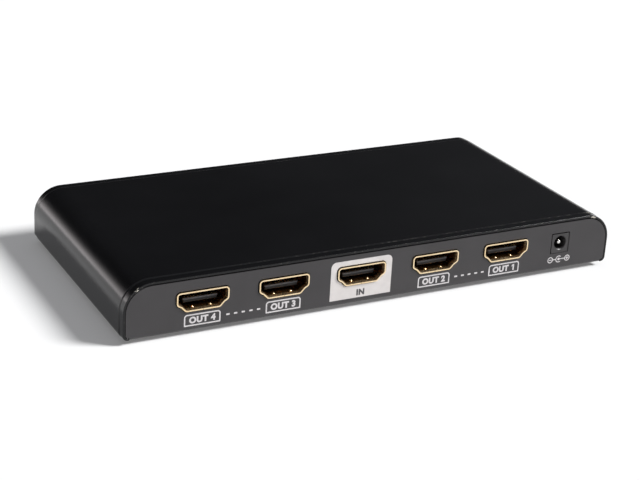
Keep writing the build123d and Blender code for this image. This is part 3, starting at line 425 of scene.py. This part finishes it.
def socket_plastic():
    """Black moulded plastic, faintly grained, with a painted grey highlight on the tongue's upper
    front edge.
    """
    cloud = 3 * MM
    black = ((0.006, 0.006, 0.007), (0.010, 0.010, 0.011))
    # Grey of the painted highlight
    grey = (0.13, 0.135, 0.15)
    streak = 1.4 * MM
    gloss_cloud = 1 * MM
    grain = 0.12 * MM
    grain_depth = 0.002 * MM

    finish = Finish("socket_plastic", Specular_IOR_Level=0.25)
    # Painted highlight: grey in stripes along the tongue's upper front edge
    highlight_low = TONGUE_TOP_Z - PAINTED_HIGHLIGHT_HEIGHT
    highlight_back = TONGUE_FRONT_Y + PAINTED_HIGHLIGHT_HEIGHT
    high = finish.span(finish.axis("Z"), highlight_low, highlight_low + PAINTED_HIGHLIGHT_HEIGHT / 2)
    near = finish.span(finish.axis("Y"), highlight_back - PAINTED_HIGHLIGHT_HEIGHT / 2, highlight_back, 1.0, 0.0)
    highlight_stripes = finish.spread(finish.noise(streak, 3.0, (3, 1, 1)), 0.7, 1.0)
    painted_highlight = finish.math("MULTIPLY", finish.math("MULTIPLY", high, near), highlight_stripes)
    plastic = finish.mix(finish.span(finish.noise(cloud, 3.0), *TONE_SPREAD), *black)
    finish.colour(finish.mix(painted_highlight, plastic, grey))
    finish.roughness(finish.spread(finish.noise(gloss_cloud, 3.0), 0.34, 0.46))
    finish.bump(finish.noise(grain), grain_depth)
    return finish


def jack_plastic():
    """The jack's moulding, the panel's charcoal but a touch smoother."""
    return cloudy(
        "jack_plastic",
        (0.026, 0.024, 0.025),
        (0.031, 0.029, 0.030),
        (0.34, 0.42),
        grain=0.14 * MM,
        depth=0.003 * MM,
        cloud=4 * MM,
    )


def bright_metal(name, tone, rough, drawn):
    """Nickel, tin or aluminium: bright grey with fine lines along the way it was drawn."""
    dark = tuple(0.85 * channel for channel in tone)
    return cloudy(
        name,
        dark,
        tone,
        rough,
        grain=0.14 * MM,
        depth=0.002 * MM,
        cloud=1.5 * MM,
        stretch=drawn,
        Metallic=1.0,
    )


def plated_steel():
    """Zinc plate: crystals of slightly different grey."""
    crystal = 0.8 * MM
    crystal_spread = (0.1, 0.7)
    greys = ((0.66, 0.67, 0.68), (0.50, 0.51, 0.53))
    grain = 0.3 * MM
    grain_depth = 0.003 * MM

    finish = Finish("plated_steel", Metallic=1.0)
    crystals = finish.cells(crystal)
    finish.colour(finish.mix(finish.span(crystals, *crystal_spread), *greys))
    finish.roughness(finish.span(crystals, *crystal_spread, 0.28, 0.42))
    finish.bump(finish.noise(grain), grain_depth)
    return finish


def board_green():
    """Green mask over copper with plated vias on both faces, bare laminate on the cut edges."""
    low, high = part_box("main_board")
    face_skin = 0.04 * MM
    region = 9 * MM
    lengthwise_above = 0.52
    crosswise_below = 0.44
    track_pitch = 0.9 * MM
    track_share = 0.28
    track_rise = 0.03 * MM
    track_strength = 0.6
    via_pitch = 3.2 * MM
    via_share = 0.09
    greens = ((0.012, 0.075, 0.030), (0.030, 0.150, 0.060))
    tin = (0.62, 0.60, 0.55)
    layer = 0.5 * MM
    tans = ((0.20, 0.17, 0.060), (0.30, 0.27, 0.11))
    gloss_cloud = 2 * MM

    finish = Finish("board_green", Specular_IOR_Level=0.55)
    regions = finish.noise(region, 1.0)
    tracks = []
    for letter, test, edge in (
        ("X", "GREATER_THAN", lengthwise_above),
        ("Y", "LESS_THAN", crosswise_below),
    ):
        phase = finish.math("FRACT", finish.math("DIVIDE", finish.axis(letter), track_pitch))
        lines = finish.math("LESS_THAN", phase, track_share)
        tracks.append(finish.math("MULTIPLY", lines, finish.math(test, regions, edge)))
    from_middle = finish.math("SUBTRACT", finish.axis("Z"), (low.z + high.z) / 2)
    skin_from = (high.z - low.z) / 2 - face_skin
    printed_side = finish.math("GREATER_THAN", finish.math("ABSOLUTE", from_middle), skin_from)
    copper = finish.math("MULTIPLY", finish.math("MAXIMUM", *tracks), printed_side)
    vias = finish.math("LESS_THAN", finish.cells(via_pitch), via_share)
    faces = finish.mix(vias, finish.mix(copper, *greens), tin)
    layers = finish.spread(finish.noise(layer, 2.0, (1, 1, 0.15)))
    finish.colour(finish.mix(printed_side, finish.mix(layers, *tans), faces))
    finish.roughness(finish.spread(finish.noise(gloss_cloud), 0.22, 0.34))
    finish.bump(copper, track_rise, track_strength)
    return finish


def lamp_epoxy():
    """Frosted lamp bodies: the power lamp is red, the others are a pale green."""
    haze_size = 1.2 * MM
    pale_greens = ((0.42, 0.62, 0.40), (0.52, 0.70, 0.48))
    power_red = (0.66, 0.20, 0.16)
    grain = 0.4 * MM
    grain_depth = 0.002 * MM

    finish = Finish("lamp_epoxy", Specular_IOR_Level=0.55, IOR=1.54, Transmission_Weight=0.35)
    power = finish.math("GREATER_THAN", finish.axis("X"), LAMP_HIGH.x - LAMP_PITCH / 2)
    haze = finish.spread(finish.noise(haze_size))
    finish.colour(finish.mix(power, finish.mix(haze, *pale_greens), power_red))
    finish.roughness(finish.span(haze, 0.0, 1.0, 0.14, 0.24))
    finish.bump(finish.noise(grain), grain_depth)
    return finish


def insulation_film():
    """Milky film with a soft haze."""
    return cloudy(
        "insulation_film",
        (0.70, 0.68, 0.60),
        (0.80, 0.78, 0.70),
        (0.25, 0.38),
        grain=0.5 * MM,
        depth=0.004 * MM,
        cloud=12 * MM,
    )


def foot_rubber():
    """Matt black rubber, dusty in places."""
    dust_size = 0.9 * MM
    dust_spread = (0.55, 0.75)
    blacks = ((0.012, 0.012, 0.012), (0.030, 0.029, 0.028))
    grain = 0.2 * MM
    grain_depth = 0.01 * MM

    finish = Finish("foot_rubber", Specular_IOR_Level=0.3)
    dust = finish.span(finish.noise(dust_size, 4.0), *dust_spread)
    finish.colour(finish.mix(dust, *blacks))
    finish.roughness(finish.span(dust, 0.0, 1.0, 0.68, 0.85))
    finish.bump(finish.noise(grain), grain_depth)
    return finish


def panel_ink(name, tone):
    """Screen-printed ink: almost even, with a little of the panel's grain showing through."""
    thin = tuple(INK_WEAKENING * channel for channel in tone)
    return cloudy(name, thin, tone, (0.42, 0.52), grain=0.18 * MM, depth=0.003 * MM, cloud=2.5 * MM)


def chip_epoxy():
    """Moulding compound: dark grey with fine glassy filler."""
    return cloudy(
        "chip_epoxy",
        (0.018, 0.018, 0.019),
        (0.030, 0.030, 0.031),
        (0.52, 0.66),
        grain=0.08 * MM,
        depth=0.004 * MM,
        cloud=0.6 * MM,
    )


def small_part(name, tone, rough, grain):
    """The other small parts: one tone each, a fifth darker in places, with its own grain."""
    dark = tuple(0.8 * channel for channel in tone)
    return cloudy(name, dark, tone, rough, grain=grain, depth=0.004 * MM, cloud=1.2 * MM)


finishes = {
    "cover_paint": cover_paint(),
    "tray_paint": tray_paint(),
    "gold_shell": gold_shell(),
    "contact_gold": contact_gold(),
    "socket_plastic": socket_plastic(),
    "jack_plastic": jack_plastic(),
    "pin_nickel": bright_metal("pin_nickel", (0.78, 0.77, 0.74), (0.14, 0.24), (1, 6, 1)),
    "tinned_leads": bright_metal("tinned_leads", (0.68, 0.68, 0.69), (0.24, 0.36), (1, 1, 5)),
    "can_aluminium": bright_metal("can_aluminium", (0.80, 0.80, 0.81), (0.24, 0.36), (1, 1, 6)),
    "sink_aluminium": bright_metal("sink_aluminium", (0.42, 0.43, 0.45), (0.34, 0.48), (1, 8, 1)),
    "black_screw": small_part("black_screw", (0.030, 0.030, 0.031), (0.32, 0.44), 0.2 * MM),
    "plated_steel": plated_steel(),
    "foot_rubber": foot_rubber(),
    "insulation_film": insulation_film(),
    "board_green": board_green(),
    "lamp_epoxy": lamp_epoxy(),
    "chip_epoxy": chip_epoxy(),
    "pad_silicone": small_part("pad_silicone", (0.45, 0.50, 0.56), (0.60, 0.75), 0.3 * MM),
    "ferrite": small_part("ferrite", (0.060, 0.058, 0.058), (0.55, 0.70), 0.15 * MM),
    "fuse_polymer": small_part("fuse_polymer", (0.045, 0.170, 0.070), (0.40, 0.55), 0.2 * MM),
    "resistor_ceramic": small_part(
        "resistor_ceramic", (0.035, 0.035, 0.038), (0.30, 0.42), 0.1 * MM
    ),
    "capacitor_ceramic": small_part(
        "capacitor_ceramic", (0.42, 0.31, 0.19), (0.42, 0.56), 0.1 * MM
    ),
}
slot_of = {entry["node"]: entry["material_slot"] for entry in frame["record"]["subparts"]}
for node_name, node in nodes.items():
    for slot in node.material_slots:
        slot.material = finishes[slot_of[node_name]].material

light_ink = panel_ink("panel_ink_light", (0.56, 0.545, 0.55))
white_ink = panel_ink("panel_ink_white", (0.585, 0.560, 0.550))
dark_ink = panel_ink("panel_ink_dark", (0.055, 0.052, 0.055))


def rectangle(width, height, low=0.0):
    """Corners of an upright rectangle that is centred on the Y line, counter-clockwise."""
    half_width, top = width / 2, low + height
    return [(-half_width, low), (half_width, low), (half_width, top), (-half_width, top)]


def grown(points, amount):
    """A counter-clockwise outline moved outwards evenly."""
    moved = []
    for index, point in enumerate(points):
        corner = Vector(point)
        arriving = (corner - Vector(points[index - 1])).normalized()
        leaving = (Vector(points[(index + 1) % len(points)]) - corner).normalized()
        outward = (arriving + leaving).normalized()
        outward = Vector((outward.y, -outward.x))
        slant = outward.dot(Vector((leaving.y, -leaving.x)))
        moved.append(corner + outward * (amount / slant))
    return moved


def rounded(points, radii):
    """An outline with each corner eased to its radius."""
    eased = []
    for index, radius in enumerate(radii):
        corner = Vector(points[index])
        back = (Vector(points[index - 1]) - corner).normalized()
        ahead = (Vector(points[(index + 1) % len(points)]) - corner).normalized()
        half_angle = back.angle(ahead) / 2
        centre = corner + (back + ahead).normalized() * (radius / math.sin(half_angle))
        reach = radius / math.tan(half_angle)
        first = corner + back * reach - centre
        last = corner + ahead * reach - centre
        for step in range(CORNER_STEPS + 1):
            eased.append(centre + first.lerp(last, step / CORNER_STEPS).normalized() * radius)
    return eased


def shifted(points, x, y):
    """The outline moved sideways and up."""
    return [(px + x, py + y) for px, py in points]


def arc(radius, start=0.0, turn=360.0):
    """Points along an arc around the origin, a whole circle unless turn says less."""
    count = CIRCLE_STEPS + (turn < 360)
    angles = [math.radians(start + turn * step / CIRCLE_STEPS) for step in range(count)]
    return [(radius * math.cos(angle), radius * math.sin(angle)) for angle in angles]


# Both panels' outer faces, with X to the right and Y up as their viewer sees them
UPRIGHT = Matrix.Rotation(math.radians(90), 4, "X")
TURNED = Matrix.Rotation(math.radians(180), 4, "Z")
FRONT_FACE = Matrix.Translation((0, PORT_PANEL_Y, CASE_FLOOR_Z)) @ UPRIGHT
REAR_FACE = Matrix.Translation((0, REAR_PANEL_Y, CASE_FLOOR_Z)) @ TURNED @ UPRIGHT


def printed(name, curve, face, ink, low=-INK_SUNK, high=INK_THICK):
    """Turn a flat curve into a thin solid of ink on a panel's face, which rides with the case."""
    curve.extrude = (high - low) / 2
    maker = bpy.data.objects.new(f"{name}_maker", curve)
    bpy.context.scene.collection.objects.link(maker)
    filled = maker.evaluated_get(bpy.context.evaluated_depsgraph_get())
    mesh = bpy.data.meshes.new_from_object(filled)
    bpy.data.objects.remove(maker)
    bpy.data.curves.remove(curve)
    mesh.name = name
    mesh.transform(face @ Matrix.Translation((0, 0, (high + low) / 2)))
    mesh.materials.clear()
    mesh.materials.append(ink.material)
    piece = bpy.data.objects.new(name, mesh)
    bpy.context.scene.collection.objects.link(piece)
    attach(piece, "case")


def outline_curve(name, outlines):
    """A filled flat curve: an outline inside another cuts a hole in it."""
    curve = bpy.data.curves.new(name, "CURVE")
    curve.dimensions = "2D"
    curve.fill_mode = "BOTH"
    for points in outlines:
        spline = curve.splines.new("POLY")
        spline.points.add(len(points) - 1)
        for point, (x, y) in zip(spline.points, points):
            point.co = (x, y, 0, 1)
        spline.use_cyclic_u = True
    return curve


def word_curve(name, word, height, swell):
    """A word centred on the Y line, with letters as tall as height before their bold swell."""
    curve = bpy.data.curves.new(name, "FONT")
    curve.body = word
    curve.size = height / LETTER_SHARE
    curve.align_x = "CENTER"
    curve.space_character = LETTER_SPACING
    curve.offset = swell
    curve.fill_mode = "BOTH"
    return curve


def one_curve(name, height, swell):
    """A figure one with a flag, because the letters' own is a bare bar."""
    half_stem = ONE_STEM * height / 2 + swell
    top = ONE_TALL * height + swell
    reach = ONE_REACH * height
    points = [
        (-half_stem, -swell),
        (half_stem, -swell),
        (half_stem, top),
        (-half_stem / 2, top),
        (-half_stem - reach, top - reach),
        (-half_stem - reach, top - reach - ONE_FLAG * half_stem),
        (-half_stem, top - 2 * half_stem),
    ]
    return outline_curve(name, [shifted(points, reach / 2, 0)])


def number_curve(name, figure, height, swell):
    """A figure or a word: only the one has its own outline."""
    if figure == "1":
        return one_curve(name, height, swell)
    return word_curve(name, figure, height, swell)


# Output labels: a frame under each output socket with its word and number inside
label_rounds = (LABEL_LOW_ROUND, LABEL_LOW_ROUND, LABEL_ROUND, LABEL_ROUND)
label_corners = rectangle(LABEL_WIDTH, LABEL_HEIGHT, LABEL_RISE)
label_outer = rounded(label_corners, label_rounds)
inner_rounds = [max(radius - LABEL_LINE, 0) for radius in label_rounds]
label_inner = rounded(grown(label_corners, -LABEL_LINE), inner_rounds)
label_letters_rise = LABEL_RISE + (LABEL_HEIGHT - LETTER_HEIGHT) / 2
for name in SOCKETS:
    if name == "input":
        continue
    x = socket_x[name]
    label = outline_curve(f"{name}_label", [shifted(label_outer, x, 0), shifted(label_inner, x, 0)])
    printed(f"{name}_label", label, FRONT_FACE, light_ink)
    word = word_curve(f"{name}_word", "OUT", LETTER_HEIGHT, LETTER_SWELL)
    number = number_curve(f"{name}_number", name[-1], LETTER_HEIGHT, LETTER_SWELL)
    for curve, shift in ((word, LABEL_WORD_SHIFT), (number, LABEL_NUMBER_SHIFT)):
        place = Matrix.Translation((x + shift, label_letters_rise, 0))
        printed(curve.name, curve, FRONT_FACE @ place, light_ink)

# Dashes that join the labels of each pair of outputs
dash_low = LABEL_RISE + (LABEL_HEIGHT - DASH_HEIGHT) / 2
dash = rounded(rectangle(DASH_LENGTH, DASH_HEIGHT, dash_low), 4 * [DASH_ROUND])
for side, first, second in (("left", "output_4", "output_3"), ("right", "output_2", "output_1")):
    middle = (socket_x[first] + socket_x[second]) / 2
    first_x = middle - (DASH_COUNT - 1) / 2 * DASH_PITCH
    places = [first_x + index * DASH_PITCH for index in range(DASH_COUNT)]
    dashes = outline_curve(f"dashes_{side}", [shifted(dash, x, 0) for x in places])
    printed(f"dashes_{side}", dashes, FRONT_FACE, light_ink)

# Light patch around the input socket, open at the panel's cut-out, with a dark word under the mouth
right_half = [(x, y) for x, y, radius in MOUTH_CORNERS]
left_half = [(-x, y) for x, y in reversed(right_half)]
mouth_radii = [radius for x, y, radius in MOUTH_CORNERS]
cut_out = rounded(grown(right_half + left_half, CUT_OUT_GROW), mouth_radii + mouth_radii[::-1])
patch_rounds = (PATCH_LOW_ROUND, PATCH_LOW_ROUND, PATCH_ROUND, PATCH_ROUND)
patch = rounded(rectangle(PATCH_WIDTH, PATCH_HEIGHT, PATCH_RISE), patch_rounds)
input_x = socket_x["input"]
mouth_rise = MOUTH_Z - CASE_FLOOR_Z
patch_outlines = [shifted(patch, input_x, 0), shifted(cut_out, input_x, mouth_rise)]
printed("input_patch", outline_curve("input_patch", patch_outlines), FRONT_FACE, white_ink)
input_word = word_curve("input_word", "IN", LETTER_HEIGHT, LETTER_SWELL)
input_place = FRONT_FACE @ Matrix.Translation((input_x, PATCH_WORD_RISE, 0))
printed("input_word", input_word, input_place, dark_ink, INK_THICK - INK_SUNK, 2 * INK_THICK)

# Polarity mark under the power jack: minus on the sleeve, plus on the pin
hollow = POLARITY_RING - POLARITY_LINE
sign_half = POLARITY_LINE / 2
cup_turn = 360.0 - 2 * POLARITY_OPENING
cup = arc(POLARITY_CUP, POLARITY_OPENING, cup_turn)
cup += arc(POLARITY_CUP - POLARITY_LINE, -POLARITY_OPENING, -cup_turn)
sleeve_link = POLARITY_REACH - POLARITY_RING - POLARITY_CUP - 2 * POLARITY_GAP
pin_link = POLARITY_REACH - POLARITY_RING - POLARITY_DOT - 2 * POLARITY_GAP
sleeve_bar = rectangle(sleeve_link, POLARITY_LINE, -sign_half)
pin_bar = rectangle(pin_link, POLARITY_LINE, -sign_half)
minus = rectangle(POLARITY_SIGN, POLARITY_LINE, -sign_half)
arm = POLARITY_SIGN / 2
plus = []
for turn in range(4):
    corners = ((arm, -sign_half), (arm, sign_half), (sign_half, sign_half))
    plus += [Matrix.Rotation(math.radians(90 * turn), 2) @ Vector(corner) for corner in corners]
polarity = [
    shifted(arc(POLARITY_RING), -POLARITY_REACH, 0),
    shifted(arc(hollow), -POLARITY_REACH, 0),
    shifted(minus, -POLARITY_REACH, 0),
    shifted(sleeve_bar, -POLARITY_CUP - POLARITY_GAP - sleeve_link / 2, 0),
    cup,
    arc(POLARITY_DOT),
    shifted(pin_bar, POLARITY_DOT + POLARITY_GAP + pin_link / 2, 0),
    shifted(arc(POLARITY_RING), POLARITY_REACH, 0),
    shifted(arc(hollow), POLARITY_REACH, 0),
    shifted(plus, POLARITY_REACH, 0),
]
polarity_place = FRONT_FACE @ Matrix.Translation((JACK_X, POLARITY_RISE, 0))
printed("polarity_mark", outline_curve("polarity_mark", polarity), polarity_place, light_ink)

# Words under the lamps on the rear panel, from the power lamp on
for index, word in enumerate(LAMP_WORDS):
    lamp_shift = (index - (len(LAMP_WORDS) - 1) / 2) * LAMP_PITCH
    place = Matrix.Translation((lamp_shift, LAMP_WORD_RISE, 0))
    curve = number_curve(f"lamp_word_{word}", word, LAMP_LETTER_HEIGHT, LAMP_LETTER_SWELL)
    printed(f"lamp_word_{word}", curve, REAR_FACE @ place, light_ink, high=REAR_INK_THICK)

# Key light, floor and world
key = bpy.data.objects.new("key_light", bpy.data.lights.new("key_light", "SUN"))
key.data.energy = KEY_STRENGTH
key.data.angle = KEY_WIDTH
key.rotation_euler = KEY_FROM.to_track_quat("Z", "Y").to_euler()
bpy.context.scene.collection.objects.link(key)


def floor_finish():
    """Pale studio floor: it keeps the shadow, but camera, gloss and glass see it nearly white."""
    material = bpy.data.materials.new("studio_floor")
    material.use_nodes = True
    tree = material.node_tree
    tree.nodes.clear()
    output = tree.nodes.new("ShaderNodeOutputMaterial")
    diffuse = tree.nodes.new("ShaderNodeBsdfDiffuse")
    diffuse.inputs["Color"].default_value = (FLOOR_GREY, FLOOR_GREY, FLOOR_GREY, 1)
    white = tree.nodes.new("ShaderNodeEmission")
    white.inputs["Color"].default_value = (1, 1, 1, 1)
    white.inputs["Strength"].default_value = 1.0
    path = tree.nodes.new("ShaderNodeLightPath")
    seen = path.outputs["Is Camera Ray"]
    for ray in ("Is Glossy Ray", "Is Transmission Ray"):
        either = tree.nodes.new("ShaderNodeMath")
        either.operation = "MAXIMUM"
        tree.links.new(seen, either.inputs[0])
        tree.links.new(path.outputs[ray], either.inputs[1])
        seen = either.outputs[0]
    share = tree.nodes.new("ShaderNodeMath")
    share.operation = "MULTIPLY"
    tree.links.new(seen, share.inputs[0])
    share.inputs[1].default_value = FLOOR_WHITENING
    mixed = tree.nodes.new("ShaderNodeMixShader")
    tree.links.new(share.outputs[0], mixed.inputs[0])
    tree.links.new(diffuse.outputs[0], mixed.inputs[1])
    tree.links.new(white.outputs[0], mixed.inputs[2])
    tree.links.new(mixed.outputs[0], output.inputs["Surface"])
    return material


floor_mesh = bpy.data.meshes.new("studio_floor")
half = FLOOR_SIZE / 2
floor_mesh.from_pydata(
    [(-half, -half, 0), (half, -half, 0), (half, half, 0), (-half, half, 0)], [], [(0, 1, 2, 3)]
)
floor_mesh.materials.append(floor_finish())
floor = bpy.data.objects.new("studio_floor", floor_mesh)
bpy.context.scene.collection.objects.link(floor)


def studio_world():
    """Dark studio: a bright low horizon in front and on the left, a faint glow on the right."""
    world = bpy.data.worlds.new("studio")
    world.use_nodes = True
    tree = world.node_tree
    place = tree.nodes.new("ShaderNodeTexCoord")
    split = tree.nodes.new("ShaderNodeSeparateXYZ")
    tree.links.new(place.outputs["Generated"], split.inputs[0])

    def ramp(grey_stops):
        """Greys by height, from the horizon up."""
        node = tree.nodes.new("ShaderNodeValToRGB")
        stops = node.color_ramp.elements
        while len(stops) < len(grey_stops):
            stops.new(1.0)
        for stop, (height, grey) in zip(stops, grey_stops):
            stop.position = height
            stop.color = (grey, grey, grey, 1)
        tree.links.new(split.outputs["Z"], node.inputs[0])
        return node.outputs[0]

    def side(letter, start, end):
        """Grows from 0 to 1 between two places along that axis."""
        node = tree.nodes.new("ShaderNodeMapRange")
        node.interpolation_type = "SMOOTHSTEP"
        tree.links.new(split.outputs[letter], node.inputs[0])
        for socket, number in zip(node.inputs[1:5], (start, end, 0.0, 1.0)):
            socket.default_value = number
        return node.outputs[0]

    def math_node(operation, first, second):
        """One sum of two numbers or outputs."""
        node = tree.nodes.new("ShaderNodeMath")
        node.operation = operation
        for socket, value in zip(node.inputs, (first, second)):
            if isinstance(value, float):
                socket.default_value = value
            else:
                tree.links.new(value, socket)
        return node.outputs[0]

    left = math_node("MULTIPLY", side("X", *LEFT_SIDE), LEFT_HORIZON - DIM_HORIZON)
    front = math_node("MULTIPLY", side("Y", *FRONT_SIDE), FRONT_HORIZON - DIM_HORIZON)
    gain = math_node("ADD", math_node("MAXIMUM", left, front), DIM_HORIZON)
    horizon = math_node("MULTIPLY", ramp(HORIZON_STOPS), gain)
    both = tree.nodes.new("ShaderNodeVectorMath")
    right = math_node("MULTIPLY", side("X", *RIGHT_SIDE), RIGHT_GLOW)
    sky = math_node("ADD", ramp(SKY_STOPS), math_node("MULTIPLY", ramp(RIGHT_STOPS), right))
    for socket, tone, level in zip(both.inputs, (HORIZON_TINT, SKY_TINT), (horizon, sky)):
        tint = tree.nodes.new("ShaderNodeVectorMath")
        tint.operation = "SCALE"
        tint.inputs[0].default_value = tone
        tree.links.new(level, tint.inputs["Scale"])
        tree.links.new(tint.outputs[0], socket)
    tree.links.new(both.outputs[0], tree.nodes["Background"].inputs["Color"])
    return world


bpy.context.scene.world = studio_world()
bpy.context.scene.view_settings.view_transform = "Standard"

# Camera
away = Vector(
    (
        math.sin(CAMERA_AZIMUTH) * math.cos(CAMERA_ELEVATION),
        math.cos(CAMERA_AZIMUTH) * math.cos(CAMERA_ELEVATION),
        -math.sin(CAMERA_ELEVATION),
    )
)
level_right = Vector((math.cos(CAMERA_AZIMUTH), -math.sin(CAMERA_AZIMUTH), 0))
level_up = level_right.cross(away)
right = level_right * math.cos(CAMERA_ROLL) + level_up * math.sin(CAMERA_ROLL)
up = level_up * math.cos(CAMERA_ROLL) - level_right * math.sin(CAMERA_ROLL)
camera = bpy.data.objects.new("camera", bpy.data.cameras.new("camera"))
camera.data.lens = CAMERA_LENS
camera.data.sensor_width = CAMERA_SENSOR
camera.data.clip_start = CAMERA_NEAR
camera.matrix_world = Matrix.Translation(CAMERA_TARGET - away * CAMERA_DISTANCE) @ Matrix(
    (right, up, -away)
).transposed().to_4x4()
bpy.context.scene.collection.objects.link(camera)
bpy.context.scene.camera = camera
